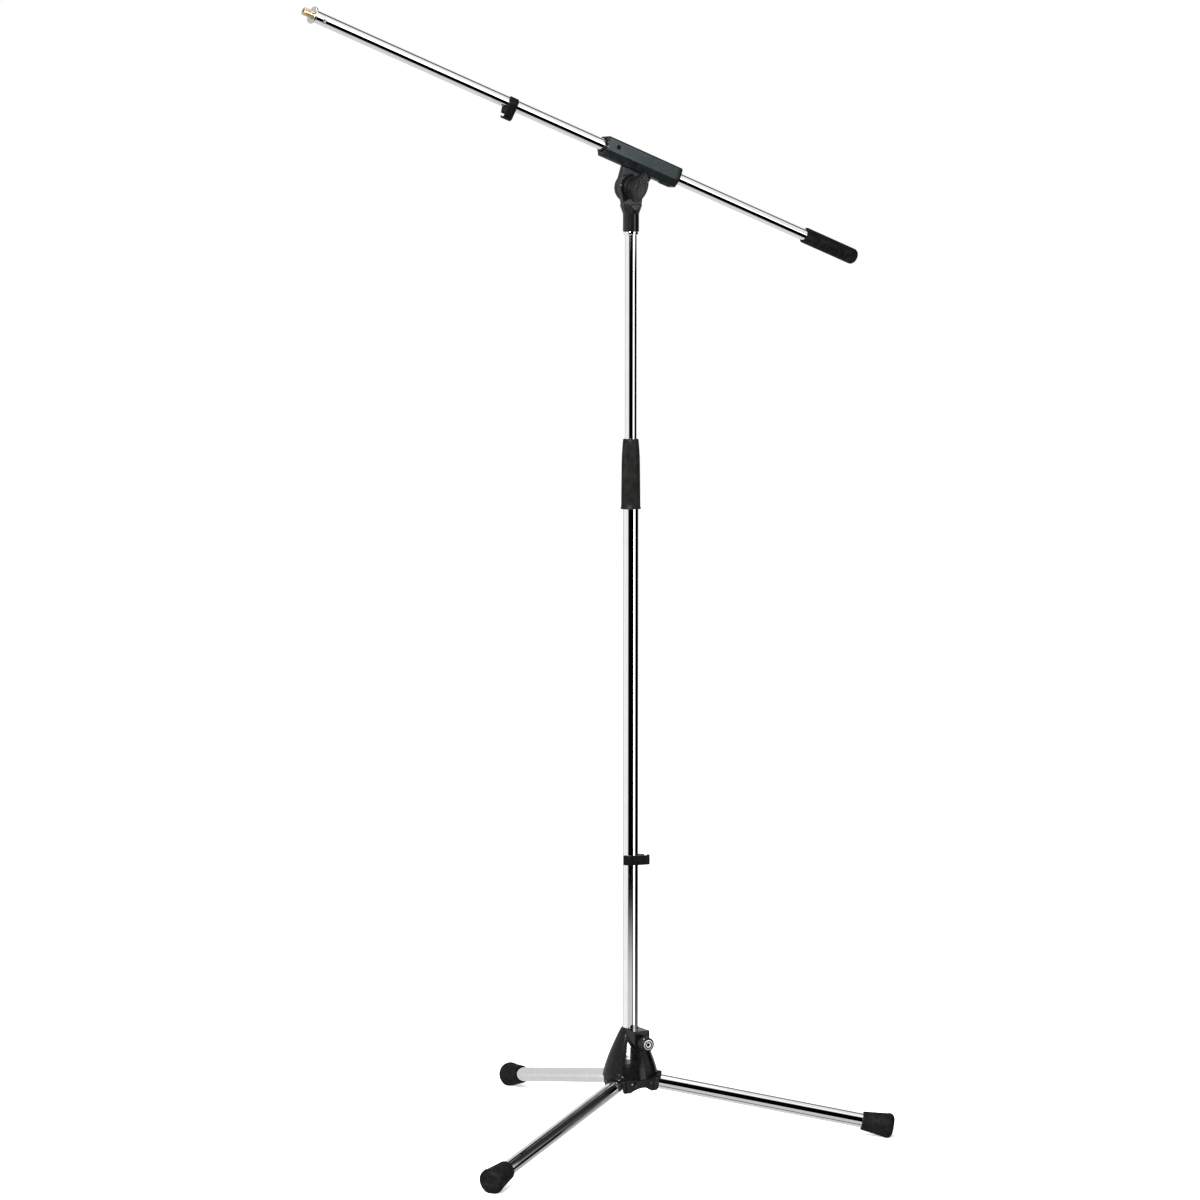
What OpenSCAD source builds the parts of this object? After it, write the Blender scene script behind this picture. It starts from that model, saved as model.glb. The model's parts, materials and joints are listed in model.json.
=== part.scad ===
// Boom microphone stand: folding three-leg base, telescopic column and one-piece boom arm.
// Millimetres, +Z up. The origin is on the floor, on the column's axis, and leg 1 points along +X.

/* [Column] */
// Outside diameter of the lower column tube
lower_tube_d = 20; // [19.6:0.1:20.4]
// Outside diameter of the upper rod
rod_d = 15; // [14.6:0.1:15.4]
// Height of the seat of the boom head, which sets how far the rod is drawn out
head_z = 1160; // [980:5:1500]
// Height of the lower end of the twist clutch
clutch_z = 810; // [760:5:860]
// Length of the clutch grip
clutch_len = 89; // [86:1:100]

/* [Base] */
// Distance of the leg pivots from the column's axis
pivot_r = 26; // [25.5:0.1:27]
// Height of the leg pivots above the floor
pivot_z = 74.4; // [72:0.1:80]
// Height of the top of the bell above the floor
bell_top_z = 143; // [141:1:150]
// Radius of the bell at its lower rim
bell_r = 36; // [35.6:0.2:37]
// Direction of the clamp knob, measured from leg 1
clamp_az = -60; // [-64:1:-56]
// Outside diameter of the clamp knob
clamp_knob_d = 18; // [16:0.5:20]

/* [Legs] */
// Outside diameter of the leg tubes
leg_d = 19; // [18:0.1:19]
// Slope of the open legs below the horizontal
leg_slope = 11; // [10:0.5:12]
// Length of a leg from its pivot to the inner rim of its rubber foot
leg_len = 277.5; // [240:0.5:300]
// Length of a rubber foot
foot_len = 41; // [38:1:46]
// Largest diameter of a rubber foot
foot_d = 32.6; // [30:0.2:33]

/* [Boom] */
// Tilt of the boom, tip end up
boom_tilt = 19.45; // [0:0.05:45]
// Direction of the boom's tip, measured from leg 1
boom_az = 213; // [180:1:240]
// Height of the boom's pivot above the seat of the head
pivot_rise = 55; // [55:1:60]
// Distance from the pivot to the boom tube's axis
boom_rise = 35.6; // [34:0.1:38]
// Outside diameter of the boom tube
boom_d = 15; // [14.6:0.1:15.4]
// Distance from the pivot to the tip end of the boom tube
boom_tip = 486.6; // [400:0.1:560]
// Distance from the pivot to the tail end of the boom grip
boom_tail = 357.5; // [300:0.1:420]
// Length of the boom grip
grip_len = 85.5; // [80:0.5:110]
// Diameter of the boom grip
grip_d = 20.8; // [19.6:0.2:23]

/* [Cable clips] */
// Height of the lower clip's centre
lower_clip_z = 360.6; // [340:0.2:700]
// Distance of the boom clip from the pivot
boom_clip_x = 199.4; // [120:0.1:400]
// Width of both clips along their tube
clip_w = 12.3; // [10:0.5:16]

/* [Hidden] */
$fn = 72;

// Radial running clearance, seat clearance of pieces pushed together, and overshoot of cutters
run = 0.05;
seat = 0.03;
over = 1;
// Wall thicknesses of the tubes
tube_wall = 1.5;
thin_wall = 1.25;
// Outside diameter of the 3/8 inch thread of the head and the boom tip
stud_d = 9.52;

// Three legs, and the directions between them
leg_count = 3;
leg_step = 360 / leg_count;
leg_pin_d = 5;
leg_pin_half = 20.5;
leg_slot_w = leg_d + 0.5;
leg_inner = 9;
leg_bore_r = leg_d / 2 - tube_wall;
sweep_r = norm([leg_inner, leg_d / 2]) + 0.4;

// Hub and bell
hub_z = 63;
hub_core_z = 69.6;
rim_z = 80;
spigot_top_z = 92;
hub_r = 34;
spigot_r = 30;
hub_core_r = 13;
hub_wall = 3;
ear_w = 4;
ear_reach = 37.6;
bush_top_z = 122;
bush_r = 12;
bell_neck_r = 11.9;
brow_r0 = 30;
brow_r1 = 38.5;

// Clamp screw
clamp_z = 128;
clamp_boss_r = 31;
clamp_boss_w = 22;
clamp_screw_d = 8;
clamp_pad_d = 8.4;
clamp_pad_len = 4;
clamp_knob_r0 = 32;
clamp_knob_len = 14.5;
clamp_disc_d = 12.5;

// Column tube, collar and clutch
lower_r = lower_tube_d / 2;
tube_bore_r = lower_r - tube_wall;
tube_bottom_z = hub_core_z - 0.2;
tube_top_z = clutch_z + 30;
collar_z = clutch_z + 6;
collar_top_z = clutch_z + 36;
collar_r = 11;
collet_z = collar_top_z + 1;
collet_len = 42;
collet_r = 9.3;
clutch_top_z = clutch_z + clutch_len;

// Upper rod
rod_r = rod_d / 2;
rod_bore_r = rod_r - thin_wall;
rod_len = 756;
rod_top_z = head_z - 4;
rod_bottom_z = rod_top_z - rod_len;
stud_flange_r = 9.3;

// Boom head, seen along its pivot: layers across the pivot from back to front
pivot_h = head_z + pivot_rise;
socket_r = 10.25;
socket_len = 22;
bracket_y0 = -12;
bracket_y1 = -4.6;
plate_y0 = -3.6;
plate_y1 = 4;
washer_t = 1;
knob_y0 = plate_y1 + washer_t;
knob_y1 = 26;
plate_r = 18;
bolt_d = 8;
shelf_h = 21.5;
flare_r = 14.4;

// Clamp block on the boom
block_x0 = -58.8;
block_x1 = 56.1;
end_cap_len = 6;
block_w = 24;
block_up = 11.6;
block_down = 13.6;
sleeve_r = 9.5;

// Boom tube, tip and grip
boom_r = boom_d / 2;
boom_bore_r = boom_r - thin_wall;
boom_end = boom_tail - 8;
tip_flange_t = 3;
tip_flange_r = 10.5;
tip_stud_len = 12;
tip_shank_r = stud_d / 2 - 0.5;

// Cable clips: band thickness, lobe and cable channel, half width of the mouth
clip_t = 2;
lobe_r = 5.3;
channel_r = 3.7;
slit_w = 3.6;
clip_mouth = 60;

// ---------- Placing helpers ----------

// Turns a child drawn for leg 1 to leg i
module at_leg(i) rotate([0, 0, leg_step * (i - 1)]) children();

// Copies children to every leg
module each_leg() for (i = [1 : leg_count]) at_leg(i) children();

// Leg axis of leg i: +X runs from the pivot out along the sloping leg
module on_leg(i) at_leg(i) translate([pivot_r, 0, pivot_z]) rotate([0, leg_slope, 0]) children();

// Clamp screw axis: +Z runs from the column out through the knob
module on_clamp() rotate([0, 0, clamp_az]) translate([0, 0, clamp_z]) rotate([0, 90, 0]) children();

// Boom pivot with a level head: +Y runs along the pivot
module on_head() translate([0, 0, pivot_h]) rotate([0, 0, boom_az]) children();

// Tilted boom frame at the pivot: +X runs along the boom to its tip
module on_boom() on_head() rotate([0, -boom_tilt, 0]) children();

// Axis of the boom tube
module on_boom_axis() on_boom() translate([0, 0, boom_rise]) children();

// ---------- Shape helpers ----------

// Ring between two radii, from z0 to z1
module ring(r_out, r_in, z0, z1) difference() {
    translate([0, 0, z0]) cylinder(r = r_out, h = z1 - z0);
    translate([0, 0, z0 - over]) cylinder(r = r_in, h = z1 - z0 + 2 * over);
}

// Solid round bar along +X
module bar_x(r, x0, x1) translate([x0, 0, 0]) rotate([0, 90, 0]) cylinder(r = r, h = x1 - x0);

// Tube along +X
module pipe_x(r_out, r_in, x0, x1) difference() {
    bar_x(r_out, x0, x1);
    bar_x(r_in, x0 - over, x1 + over);
}

// Round bar along +Y, centred on the pivot
module bar_y(r, y0, y1) translate([0, y1, 0]) rotate([90, 0, 0]) cylinder(r = r, h = y1 - y0);

// Outline in X and Z drawn out along Y
module slab_y(y0, y1) translate([0, y1, 0]) rotate([90, 0, 0]) linear_extrude(y1 - y0) children();

// Outline in Y and Z drawn out along X
module slab_x(x0, x1)
    translate([x0, 0, 0]) rotate([90, 0, 90]) linear_extrude(x1 - x0) children();

// Radius of the bell's convex side at height z
function bell_side(z) = let (t = (z - rim_z) / (bell_top_z - rim_z))
    bell_neck_r + (bell_r - bell_neck_r) * (1 - pow(t, 1.35));

// ---------- Base ----------

// Slots for the three legs, with room for their inner ends to swing
module leg_slots() each_leg() {
    translate([pivot_r, 0, pivot_z]) rotate([0, leg_slope, 0]) bar_x(leg_slot_w / 2, -leg_inner, 30);
    translate([pivot_r, 0, pivot_z]) sphere(r = sweep_r);
    translate([pivot_r - sweep_r, -leg_slot_w / 2, hub_z - over])
        cube([60, leg_slot_w, pivot_z - 3 - hub_z + over]);
}

// Scalloped lower edge between the legs
module hub_scallops() for (i = [0 : leg_count - 1])
    rotate([0, 0, leg_step * (i + 0.5)]) translate([0, 0, hub_core_z - 22]) bar_x(22, 5, 60);

// Fork ears on both sides of every leg, standing out past the round wall
module hub_ears() each_leg() slab_y(-leg_slot_w / 2 - ear_w, leg_slot_w / 2 + ear_w)
    polygon([[20, rim_z], [20, hub_z + 2], [22, hub_z], [33.5, hub_z], [36.2, hub_z + 3], [ear_reach, rim_z]]);

module base_hub() color([0.12, 0.11, 0.10]) difference() {
    union() {
        translate([0, 0, hub_z]) cylinder(r1 = hub_r - 1, r2 = hub_r + 0.6, h = rim_z - hub_z);
        translate([0, 0, rim_z]) cylinder(r = spigot_r - seat, h = spigot_top_z - rim_z - seat);
        hub_ears();
    }
    leg_slots();
    hub_scallops();
    translate([0, 0, hub_z - over]) cylinder(r = lower_r + run, h = 60);
    translate([0, 0, hub_z - over]) cylinder(r = hub_core_r, h = hub_core_z - hub_z + over);
    // Hollow spaces between the fork ears
    difference() {
        ring(hub_r - hub_wall - 2.5, hub_core_r, hub_z - over, spigot_top_z - 4);
        each_leg() translate([0, -leg_slot_w / 2 - ear_w, 0]) cube([60, leg_slot_w + 2 * ear_w, 100]);
    }
    each_leg() translate([pivot_r, 0, pivot_z]) bar_y(leg_pin_d / 2 + seat, -40, 40);
}

// Convex cover over the hub, with a brow over each leg and a boss for the clamp screw
module bell_body() intersection() {
    union() {
        rotate_extrude() polygon(concat([[0, rim_z - 3], [bell_r + 0.2, rim_z - 3]],
            [for (k = [0 : 13]) let (z = rim_z + k / 12 * (bell_top_z - rim_z)) [bell_side(z), z]],
            [[0, bell_top_z + 5]]));
        each_leg() translate([pivot_r, 0, pivot_z]) rotate([0, leg_slope, 0])
            bar_x(leg_slot_w / 2 + ear_w, brow_r0 - pivot_r, brow_r1 - pivot_r);
        on_clamp() {
            translate([0, 0, 8]) cylinder(r = clamp_boss_w / 2, h = clamp_boss_r - 8);
            translate([-20, -clamp_boss_w / 2, 8]) cube([20, clamp_boss_w, clamp_boss_r - 8]);
        }
    }
    translate([0, 0, rim_z]) cylinder(r = 60, h = bell_top_z - rim_z);
}

module base_bell() color([0.05, 0.05, 0.05]) difference() {
    bell_body();
    translate([0, 0, rim_z - over]) cylinder(r = lower_r + run, h = 100);
    translate([0, 0, rim_z - over]) cylinder(r = bush_r, h = bush_top_z - rim_z + over);
    translate([0, 0, rim_z - over]) cylinder(r = spigot_r, h = spigot_top_z - rim_z + over);
    leg_slots();
    on_clamp() cylinder(r = clamp_pad_d / 2 + run, h = 16);
    on_clamp() cylinder(r = clamp_screw_d / 2 + run, h = 60);
}

module base_bush() color([0.70, 0.70, 0.68])
    ring(bush_r - seat, lower_r + run, spigot_top_z + seat, bush_top_z - seat);

// Hinge pins of the three legs, seen end-on in the hub's wall
module leg_pins() color([0.35, 0.34, 0.33]) each_leg()
    translate([pivot_r, 0, pivot_z]) bar_y(leg_pin_d / 2, -leg_pin_half, leg_pin_half);

module clamp_pad() color([0.75, 0.58, 0.28])
    on_clamp() translate([0, 0, lower_r + run]) cylinder(r = clamp_pad_d / 2, h = clamp_pad_len);

module clamp_screw() color([0.62, 0.62, 0.63])
    on_clamp() translate([0, 0, lower_r + 2 * run + clamp_pad_len])
        cylinder(r = clamp_screw_d / 2, h = clamp_knob_r0 + 10 - lower_r - clamp_pad_len);

// Round fluted knob with a recess for its bright disc
module clamp_knob() color([0.04, 0.04, 0.04]) on_clamp() translate([0, 0, clamp_knob_r0]) difference() {
    union() {
        cylinder(r1 = clamp_knob_d / 2 - 1.5, r2 = clamp_knob_d / 2, h = 4);
        translate([0, 0, 4]) cylinder(r = clamp_knob_d / 2, h = clamp_knob_len - 5);
        translate([0, 0, clamp_knob_len - 1])
            cylinder(r1 = clamp_knob_d / 2, r2 = clamp_knob_d / 2 - 1, h = 1);
    }
    translate([0, 0, -over]) cylinder(r = clamp_screw_d / 2 + seat, h = 11 + over + 2 * run);
    translate([0, 0, clamp_knob_len - 1.5]) cylinder(r = clamp_disc_d / 2 + seat, h = 3);
    for (a = [0 : 30 : 330]) rotate([0, 0, a]) translate([clamp_knob_d / 2 + 0.6, 0, 4.5])
        cylinder(r = 1.3, h = clamp_knob_len - 6);
}

// Plain bright disc with a hexagon recess set in the knob's face
module clamp_knob_disc() color([0.82, 0.82, 0.83])
    on_clamp() translate([0, 0, clamp_knob_r0 + clamp_knob_len - 1.5]) difference() {
        cylinder(r = clamp_disc_d / 2, h = 1.7);
        translate([0, 0, 0.7]) cylinder(r = 3, h = 2, $fn = 6);
    }

// ---------- Legs ----------

module leg_tube(i) color([0.80, 0.81, 0.83]) on_leg(i) difference() {
    pipe_x(leg_d / 2, leg_bore_r, -leg_inner, leg_len + foot_len - 8);
    bar_y(leg_pin_d / 2 + run, -20, 20);
}

// Moulded insert in the leg's inner end that turns on the pin
module leg_insert(i) color([0.10, 0.10, 0.10]) on_leg(i) difference() {
    bar_x(leg_bore_r - seat, -leg_inner, 26);
    bar_y(leg_pin_d / 2 + run, -20, 20);
    bar_x(4, 8, 40);
}

// Rubber foot: widening sleeve with a domed end, worn flat where it meets the floor
module foot_cap(i) color([0.07, 0.07, 0.07]) difference() {
    on_leg(i) translate([leg_len, 0, 0]) difference() {
        rotate([0, 90, 0]) rotate_extrude() polygon(foot_outline());
        bar_x(leg_d / 2 + seat, -over, foot_len - 8 + seat);
    }
    translate([-500, -500, -50]) cube([1000, 1000, 50]);
}

// Half outline of a foot: sleeve rim, conical flank, largest bead and domed end
function foot_outline() = let (r1 = 12.1, r2 = foot_d / 2, x1 = foot_len - 13)
    concat([[0, 0], [r1 - 0.8, 0], [r1, 1], [r1 + 0.5, 6]],
        [for (a = [-30 : 15 : 90]) [r2 - 7 + 7 * cos(a), x1 + 6 + 7 * sin(a)]],
        [[0, foot_len]]);

// ---------- Column ----------

module lower_tube() color([0.80, 0.81, 0.83]) ring(lower_r, tube_bore_r, tube_bottom_z, tube_top_z);

// Plug that closes the tube and stops the base from sliding off its end
module tube_end_plug() color([0.08, 0.08, 0.08]) {
    translate([0, 0, tube_bottom_z]) cylinder(r = tube_bore_r - seat, h = 22);
    translate([0, 0, tube_bottom_z - 3]) cylinder(r = 11.8, h = 3);
}

// Threaded collar on the tube's upper end
module clutch_collar() color([0.60, 0.60, 0.62]) difference() {
    translate([0, 0, collar_z]) cylinder(r = collar_r, h = collar_top_z - collar_z);
    translate([0, 0, collar_z - over]) cylinder(r = lower_r + seat, h = tube_top_z - collar_z + over);
    translate([0, 0, collar_z]) cylinder(r = tube_bore_r, h = 60);
}

// Slotted collet that grips the rod as the clutch is twisted
module clutch_collet() color([0.75, 0.74, 0.70]) difference() {
    ring(collet_r, rod_r + run, collet_z, collet_z + collet_len);
    for (a = [0, 120, 240]) rotate([0, 0, a]) translate([0, -0.6, collet_z + 8])
        cube([20, 1.2, collet_len]);
}

// Half outline of the clutch: flared lower rim, long waist and tapering top
function clutch_outline() = [[0, 0], [12.5, 0], [12.9, 0.6], [12.8, 1.8], [12.2, 3.5],
    [11.65, clutch_len - 31], [11.4, clutch_len - 22], [10.8, clutch_len - 12],
    [10.2, clutch_len - 4], [9.9, clutch_len - 1], [9.3, clutch_len], [0, clutch_len]];

module clutch_grip() color([0.06, 0.06, 0.06]) difference() {
    translate([0, 0, clutch_z]) rotate_extrude() polygon(clutch_outline());
    translate([0, 0, clutch_z - over]) cylinder(r = collar_r + run, h = collar_top_z - clutch_z + over + 0.5);
    translate([0, 0, clutch_z]) cylinder(r = collet_r + 0.08, h = collet_z + collet_len - clutch_z + 0.5);
    translate([0, 0, clutch_z]) cylinder(r = rod_r + 0.3, h = 200);
}

module upper_rod() color([0.80, 0.81, 0.83]) ring(rod_r, rod_bore_r, rod_bottom_z, rod_top_z);

// Bush that guides the rod's lower end in the tube
module rod_guide_bush() color([0.70, 0.70, 0.68]) {
    translate([0, 0, rod_bottom_z - 18]) cylinder(r = tube_bore_r - run, h = 18);
    translate([0, 0, rod_bottom_z]) cylinder(r = rod_bore_r - seat, h = 24);
}

// Plug, chrome flange ring and 3/8 inch stud on top of the rod
module rod_top_stud() color([0.86, 0.86, 0.88]) {
    translate([0, 0, rod_top_z - 26]) cylinder(r = rod_bore_r - seat, h = 26);
    translate([0, 0, rod_top_z]) cylinder(r = stud_flange_r, h = head_z - rod_top_z);
    translate([0, 0, head_z]) cylinder(r = stud_d / 2, h = 14);
}

// ---------- Boom head ----------

// Web between the shelf and the disc of the head
module head_web() slab_y(plate_y0, plate_y1)
    polygon([[-13.5, -shelf_h - 1], [13.5, -shelf_h - 1], [15.4, -9], [-15.4, -9]]);

// Threaded socket that flares up to a shelf, with a flat facet at the front and a disc on top
module head_socket() color([0.07, 0.07, 0.07]) on_head() difference() {
    union() {
        translate([0, 0, -pivot_rise]) cylinder(r = socket_r, h = socket_len);
        intersection() {
            translate([0, 0, socket_len - pivot_rise])
                cylinder(r1 = socket_r, r2 = flare_r, h = pivot_rise - socket_len - shelf_h);
            translate([-20, -12.6, -40]) cube([40, 24.4, 40]);
        }
        head_web();
        bar_y(plate_r, plate_y0, plate_y1);
    }
    translate([0, 0, -pivot_rise - over]) cylinder(r = stud_d / 2 + seat, h = 16 + over);
    bar_y(bolt_d / 2 + run, -30, 30);
}

module friction_disc() color([0.45, 0.18, 0.12]) on_head() difference() {
    bar_y(15.5, bracket_y1, plate_y0);
    bar_y(bolt_d / 2 + run, -30, 30);
}

module knob_washer() color([0.62, 0.62, 0.63]) on_head() difference() {
    bar_y(9, plate_y1, knob_y0);
    bar_y(bolt_d / 2 + run, -30, 30);
}

module pivot_bolt() color([0.62, 0.62, 0.63]) on_boom() {
    bar_y(bolt_d / 2, bracket_y0, knob_y0 + 13);
    difference() {
        bar_y(7, bracket_y0 - 4, bracket_y0);
        slab_y(bracket_y0 - 5, bracket_y0 - 2) circle(r = 3.5, $fn = 6);
    }
}

// Outline of the block across the boom: flat sides, bevelled top, chamfered underside
module block_section() let (w = block_w / 2)
    polygon([[-w + 2.2, block_up], [w - 2.2, block_up], [w, block_up - 2.2], [w, -5.4],
        [w - 1.2, -6.4], [w - 6.5, -block_down], [6.5 - w, -block_down], [1.2 - w, -6.4],
        [-w, -5.4], [-w, block_up - 2.2]]);

// Bracket web that joins the block to the pivot
module bracket_web() slab_y(bracket_y0, bracket_y1) polygon([[-28, boom_rise - 12], [-15.4, -8],
    [15.4, -8], [16.5, boom_rise - 12]]);

module clamp_block() color([0.10, 0.11, 0.12]) difference() {
    union() {
        on_boom_axis() slab_x(block_x0 + end_cap_len, block_x1) block_section();
        on_boom() intersection() {
            bracket_web();
            translate([0, 0, 10]) bar_y(44, -20, 0);
        }
        on_boom() bar_y(17.4, bracket_y0, bracket_y1);
        // Rounded lip under the tail end
        on_boom_axis() translate([0, 0, 2.2 - block_down]) bar_x(4.2, block_x0 + end_cap_len, -38);
    }
    on_boom_axis() {
        bar_x(sleeve_r + run, block_x0 - over, block_x1 - 6);
        bar_x(boom_r + 0.6, block_x0, block_x1 + over);
        bar_x(sleeve_r - 0.4, block_x1 - 1.6, block_x1 + over);
        // Square recesses in both sides near the tip end
        for (s = [-1, 1]) translate([40.5, s * block_w / 2, 2.4]) cube([5.2, 3.2, 5.6], center = true);
    }
    on_boom() bar_y(bolt_d / 2 + seat, -30, 30);
}

module block_end_cap() color([0.05, 0.05, 0.05]) on_boom_axis() difference() {
    slab_x(block_x0, block_x0 + end_cap_len) block_section();
    bar_x(boom_r + 0.3, block_x0 - over, 0);
    bar_x(boom_r + 1.6, block_x0 - over, block_x0 + 1.5);
}

// Slotted lining that the boom slides in
module boom_sleeve() color([0.75, 0.74, 0.70]) on_boom_axis() difference() {
    pipe_x(sleeve_r, boom_r + run, block_x0 + end_cap_len + 0.1, block_x1 - 6.1);
    translate([-44, -0.7, -20]) cube([76, 1.4, 20]);
}

// Pointed outline of the knob's wing: two arcs that meet at top and bottom
module wing_outline(width, height) let (r = (height * height / 4 + width * width / 4) / width)
    intersection() {
        translate([r - width / 2, 0]) circle(r = r, $fn = 64);
        translate([width / 2 - r, 0]) circle(r = r, $fn = 64);
    }

module tilt_knob() color([0.06, 0.06, 0.06]) on_boom() difference() {
    union() {
        bar_y(14.5, knob_y0, knob_y0 + 4);
        hull() {
            slab_y(knob_y0 + 1, knob_y0 + 2) wing_outline(17, 31);
            slab_y(15.5, 16) wing_outline(15, 39);
            slab_y(knob_y1 - 2, knob_y1 - 1.5) wing_outline(18.5, 41);
        }
        slab_y(knob_y1 - 3, knob_y1) wing_outline(17.5, 40.4);
    }
    bar_y(bolt_d / 2 + run, -30, knob_y0 + 14);
    slab_y(knob_y0 - over, knob_y0 + 6.5 + 2 * seat) circle(r = 6.5 + seat, $fn = 6);
}

// Hexagon nut moulded in the knob
module knob_nut() color([0.62, 0.62, 0.63]) on_boom() difference() {
    slab_y(knob_y0 + seat, knob_y0 + 6.5) circle(r = 6.5, $fn = 6);
    bar_y(bolt_d / 2 + run, -30, 30);
}

// ---------- Boom ----------

module boom_tube() color([0.80, 0.81, 0.83])
    on_boom_axis() pipe_x(boom_r, boom_bore_r, -boom_end, boom_tip);

// Plug and flange in the tip end
module tip_flange() color([0.70, 0.71, 0.72]) on_boom_axis() difference() {
    union() {
        bar_x(boom_bore_r - seat, boom_tip - 24, boom_tip);
        bar_x(tip_flange_r, boom_tip, boom_tip + tip_flange_t);
    }
    bar_x(tip_shank_r + seat, boom_tip - 18, boom_tip + 10);
}

// 3/8 inch microphone stud
module tip_stud() color([0.80, 0.62, 0.28]) on_boom_axis() difference() {
    union() {
        bar_x(tip_shank_r, boom_tip - 17, boom_tip + tip_flange_t + over);
        bar_x(stud_d / 2, boom_tip + tip_flange_t, boom_tip + tip_flange_t + tip_stud_len);
    }
    bar_x(2, boom_tip - 18, boom_tip + 60);
}

// Half outline of the boom grip, from its open mouth to its rounded end
function grip_outline() = let (r = grip_d / 2, k = 5)
    concat([[0, 0], [r - 1, 0], [r, 1]],
        [for (a = [0 : 15 : 90]) [r - k + k * cos(a), grip_len - k + k * sin(a)]], [[0, grip_len]]);

module boom_grip() color([0.06, 0.06, 0.06])
    on_boom_axis() translate([grip_len - boom_tail, 0, 0]) rotate([0, -90, 0]) difference() {
        rotate_extrude() polygon(grip_outline());
        translate([0, 0, -over]) cylinder(r = boom_r + seat, h = grip_len - 8 + seat + over);
        translate([0, 0, -over]) cylinder(r = boom_r + 1.2, h = 2 + over);
    }

// ---------- Cable clips ----------

// Points just inside those where a clip's neck touches its band, of radius r, and its lobe, x away from the tube
function clip_neck(r, x) = let (c = (r - lobe_r) / x, n = 0.98 * [c, sqrt(1 - c * c)])
    [r * n, [x, 0] + lobe_r * n];

// Snap-on clip for a tube along Z: open band with its mouth towards mouth_az, and a hooked lobe
// along +X that holds the cable, open on the side given by slit_side
module cable_clip(tube_r, lobe, mouth_az, slit_side)
let (neck = clip_neck(tube_r + clip_t, tube_r + lobe - lobe_r)) difference() {
    union() {
        cylinder(r = tube_r + clip_t, h = clip_w, center = true);
        translate([0, 0, -clip_w / 2]) linear_extrude(clip_w)
            polygon([neck[0], neck[1], [neck[1][0], -neck[1][1]], [neck[0][0], -neck[0][1]]]);
        translate([tube_r + lobe - lobe_r, 0, 0]) cylinder(r = lobe_r, h = clip_w, center = true);
    }
    cylinder(r = tube_r + run, h = clip_w + 2, center = true);
    rotate([0, 0, mouth_az]) translate([0, 0, -20]) linear_extrude(40)
        polygon([[0, 0], [30, -clip_mouth], [60, 0], [30, clip_mouth]]);
    translate([tube_r + lobe - lobe_r, 0, 0]) cylinder(r = channel_r, h = clip_w + 2, center = true);
    translate([tube_r + lobe - lobe_r - slit_w / 2, slit_side > 0 ? 0 : -20, -20]) cube([slit_w, 20, 40]);
}

module lower_cable_clip() color([0.06, 0.06, 0.06])
    translate([0, 0, lower_clip_z]) cable_clip(lower_r, 14.7, 158, 1);

module boom_cable_clip() color([0.06, 0.06, 0.06])
    on_boom_axis() translate([boom_clip_x, 0, 0]) rotate([0, 90, 0]) cable_clip(boom_r, 13.5, -157, -1);

// ---------- Nodes ----------

base_hub();
base_bell();
base_bush();
leg_pins();
clamp_screw();
clamp_knob();
clamp_knob_disc();
clamp_pad();
leg_tube(1);  // leg_tube_1
leg_tube(2);  // leg_tube_2
leg_tube(3);  // leg_tube_3
leg_insert(1);  // leg_insert_1
leg_insert(2);  // leg_insert_2
leg_insert(3);  // leg_insert_3
foot_cap(1);  // foot_cap_1
foot_cap(2);  // foot_cap_2
foot_cap(3);  // foot_cap_3
lower_tube();
tube_end_plug();
clutch_collar();
lower_cable_clip();
clutch_grip();
clutch_collet();
upper_rod();
rod_guide_bush();
rod_top_stud();
head_socket();
friction_disc();
knob_washer();
pivot_bolt();
clamp_block();
block_end_cap();
tilt_knob();
knob_nut();
boom_sleeve();
boom_tube();
tip_flange();
tip_stud();
boom_grip();
boom_cable_clip();
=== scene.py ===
"""Looks of the boom microphone stand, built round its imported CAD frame. Metres, +Z up."""

import json
import math

import bmesh
import bpy
import numpy as np
from mathutils import Matrix, Vector


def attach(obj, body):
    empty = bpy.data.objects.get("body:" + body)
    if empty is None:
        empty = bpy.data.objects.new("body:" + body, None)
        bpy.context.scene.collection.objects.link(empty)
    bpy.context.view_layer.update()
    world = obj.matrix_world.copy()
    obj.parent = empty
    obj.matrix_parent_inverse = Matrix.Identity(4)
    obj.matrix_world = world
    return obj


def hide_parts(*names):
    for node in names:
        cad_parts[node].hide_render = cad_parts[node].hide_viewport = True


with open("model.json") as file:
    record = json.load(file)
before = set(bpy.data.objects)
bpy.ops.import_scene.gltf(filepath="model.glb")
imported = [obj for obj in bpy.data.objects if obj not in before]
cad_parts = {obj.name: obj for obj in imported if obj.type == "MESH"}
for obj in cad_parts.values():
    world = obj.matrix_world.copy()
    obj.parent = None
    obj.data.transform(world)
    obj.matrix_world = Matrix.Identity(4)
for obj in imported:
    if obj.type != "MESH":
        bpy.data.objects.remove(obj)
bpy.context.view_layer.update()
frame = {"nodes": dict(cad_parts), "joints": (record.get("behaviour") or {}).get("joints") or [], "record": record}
JOINTS = {j["name"]: j for j in frame["joints"]}
MM = 0.001
TAU = 2 * math.pi


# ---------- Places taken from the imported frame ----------

def looking_along(origin, direction, side=(0, 0, 1)):
    """Frame at origin whose Z runs along direction and whose X is as close to side as it can be."""
    z = Vector(direction).normalized()
    x = Vector(side) - z * Vector(side).dot(z)
    x = x.normalized() if x.length > 1e-6 else z.orthogonal().normalized()
    m = Matrix((x, z.cross(x), z)).transposed().to_4x4()
    m.translation = Vector(origin)
    return m


def node_points(node, place):
    """Vertices of a CAD node seen in a frame, as an array in metres."""
    inverse = place.inverted()
    return np.array([inverse @ v.co for v in frame["nodes"][node].data.vertices])


def node_span(node, place):
    """Lowest and highest coordinates of a CAD node in a frame, and its largest radius about Z."""
    p = node_points(node, place)
    return p.min(0), p.max(0), float(np.hypot(p[:, 0], p[:, 1]).max())


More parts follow.
